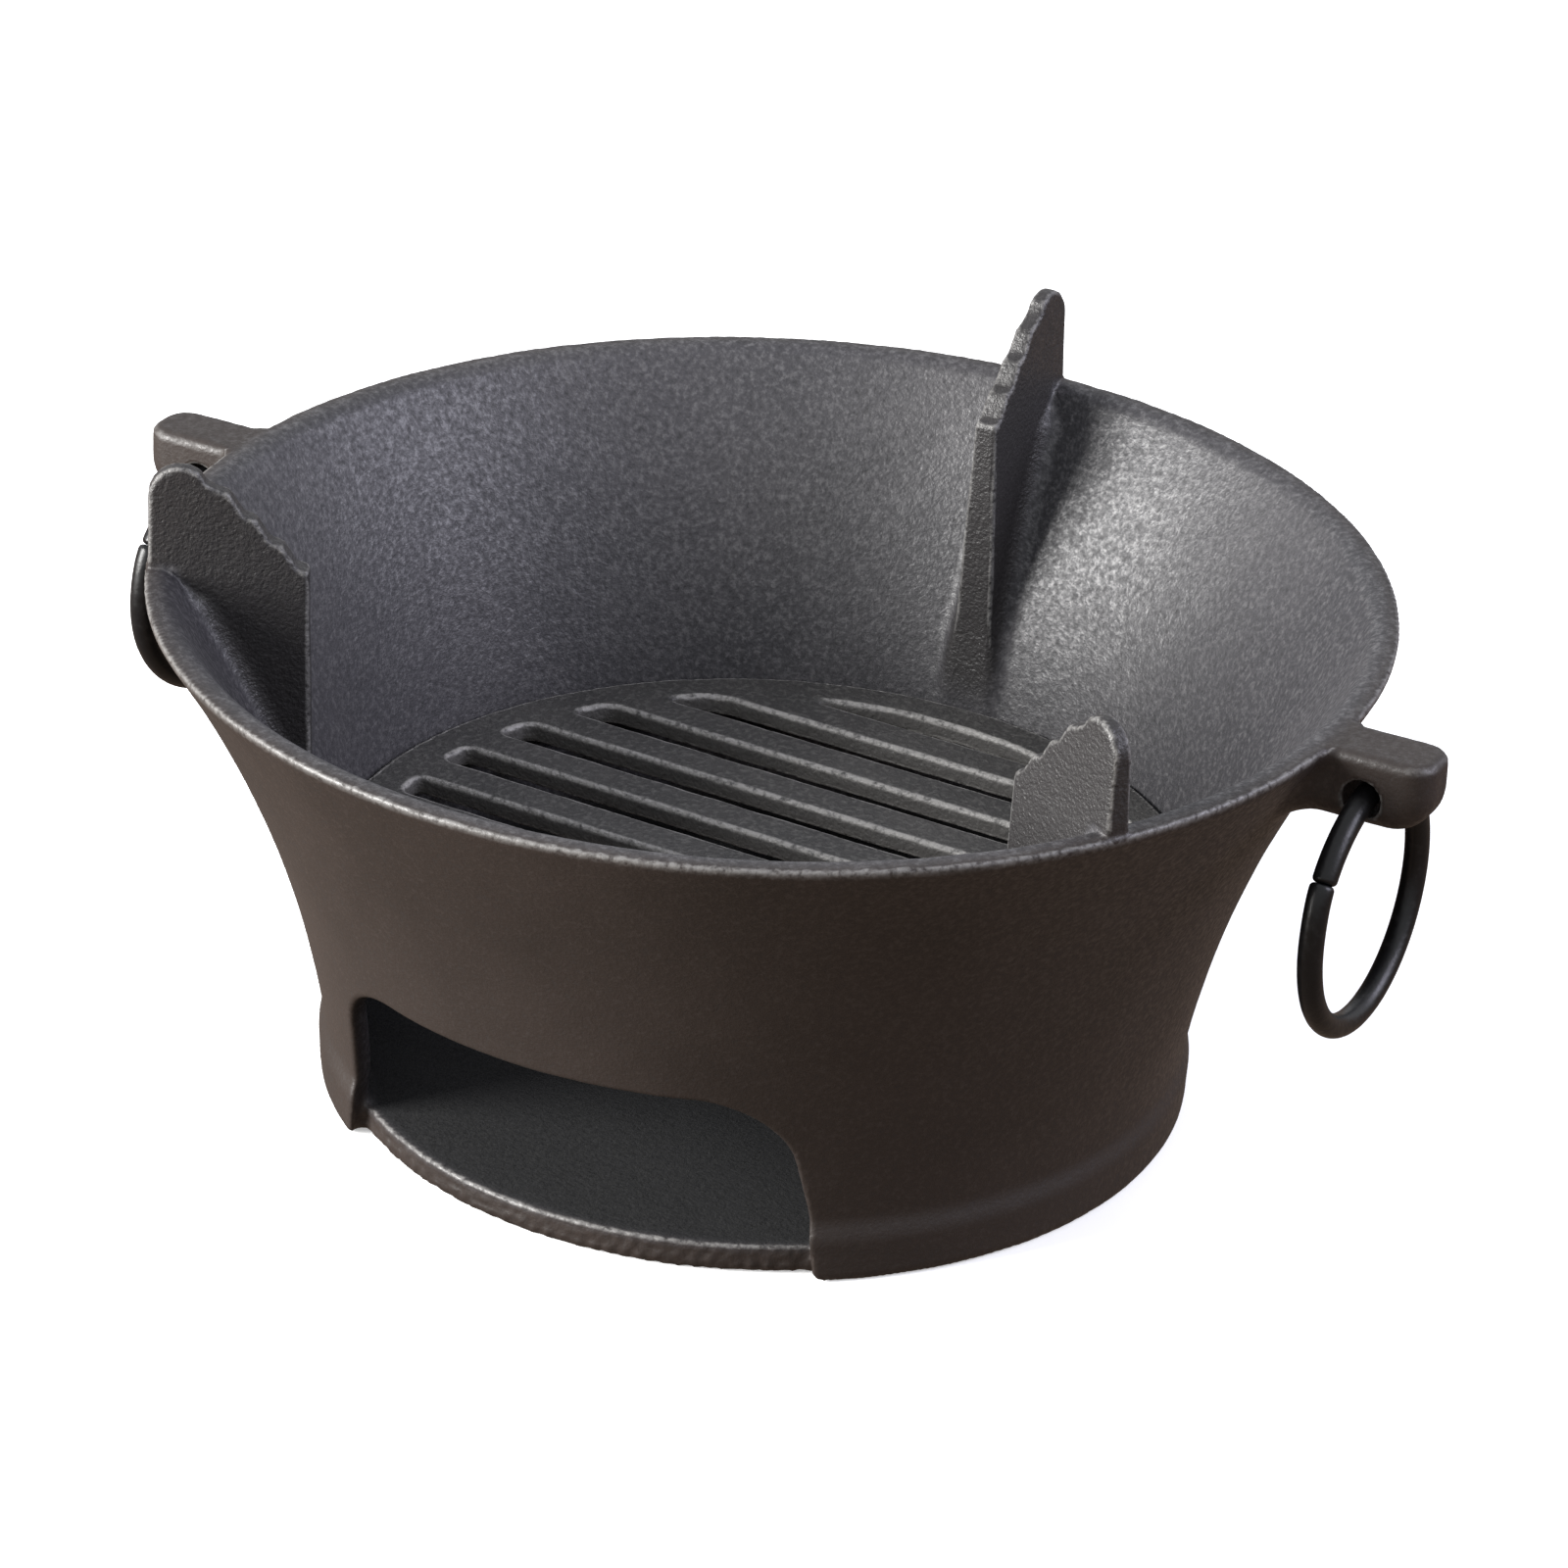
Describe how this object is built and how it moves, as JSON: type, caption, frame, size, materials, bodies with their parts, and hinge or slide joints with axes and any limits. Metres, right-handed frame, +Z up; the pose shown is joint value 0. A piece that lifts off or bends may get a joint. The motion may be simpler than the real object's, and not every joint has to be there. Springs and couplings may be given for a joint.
{
  "type": "hibachi grill",
  "caption": "Flared round cast-iron charcoal stove with an air door, slotted loose fire grate, stepped pot-support fins and ring handles.",
  "frame": {"origin": "centre of the foot's underside, on the surface that the stove stands on", "axes": "+Z up; -Y out of the air door; the ears and ring handles lie on the X axis"},
  "size_m": [0.292, 0.25, 0.1316],
  "materials": {
    "cast_iron_body": "sand-cast, blackened, slightly glossy inside, edges worn to bare grey",
    "cast_iron_grate": "sand-cast, blackened, slot edges worn to bare grey",
    "ring_steel": "satin black"
  },
  "bodies": {
    "body": {"stove_body": "cast_iron_body"},
    "grate": {"fire_grate": "cast_iron_grate"},
    "right_ring": {"ring_handle_right": "ring_steel"},
    "left_ring": {"ring_handle_left": "ring_steel"}
  },
  "joints": [
    {"name": "grate_lift", "type": "slide", "parent": "body", "child": "grate", "axis": [0, 0, 1], "range_m": [0, 0.11]},
    {"name": "right_ring_swing", "type": "hinge", "parent": "body", "child": "right_ring", "pos_m": [0.1324, 0, 0.1005], "axis": [0, -1, 0], "range_deg": [-33, 195]},
    {"name": "left_ring_swing", "type": "hinge", "parent": "body", "child": "left_ring", "pos_m": [-0.1324, 0, 0.1005], "axis": [0, 1, 0], "range_deg": [-33, 195]}
  ]
}
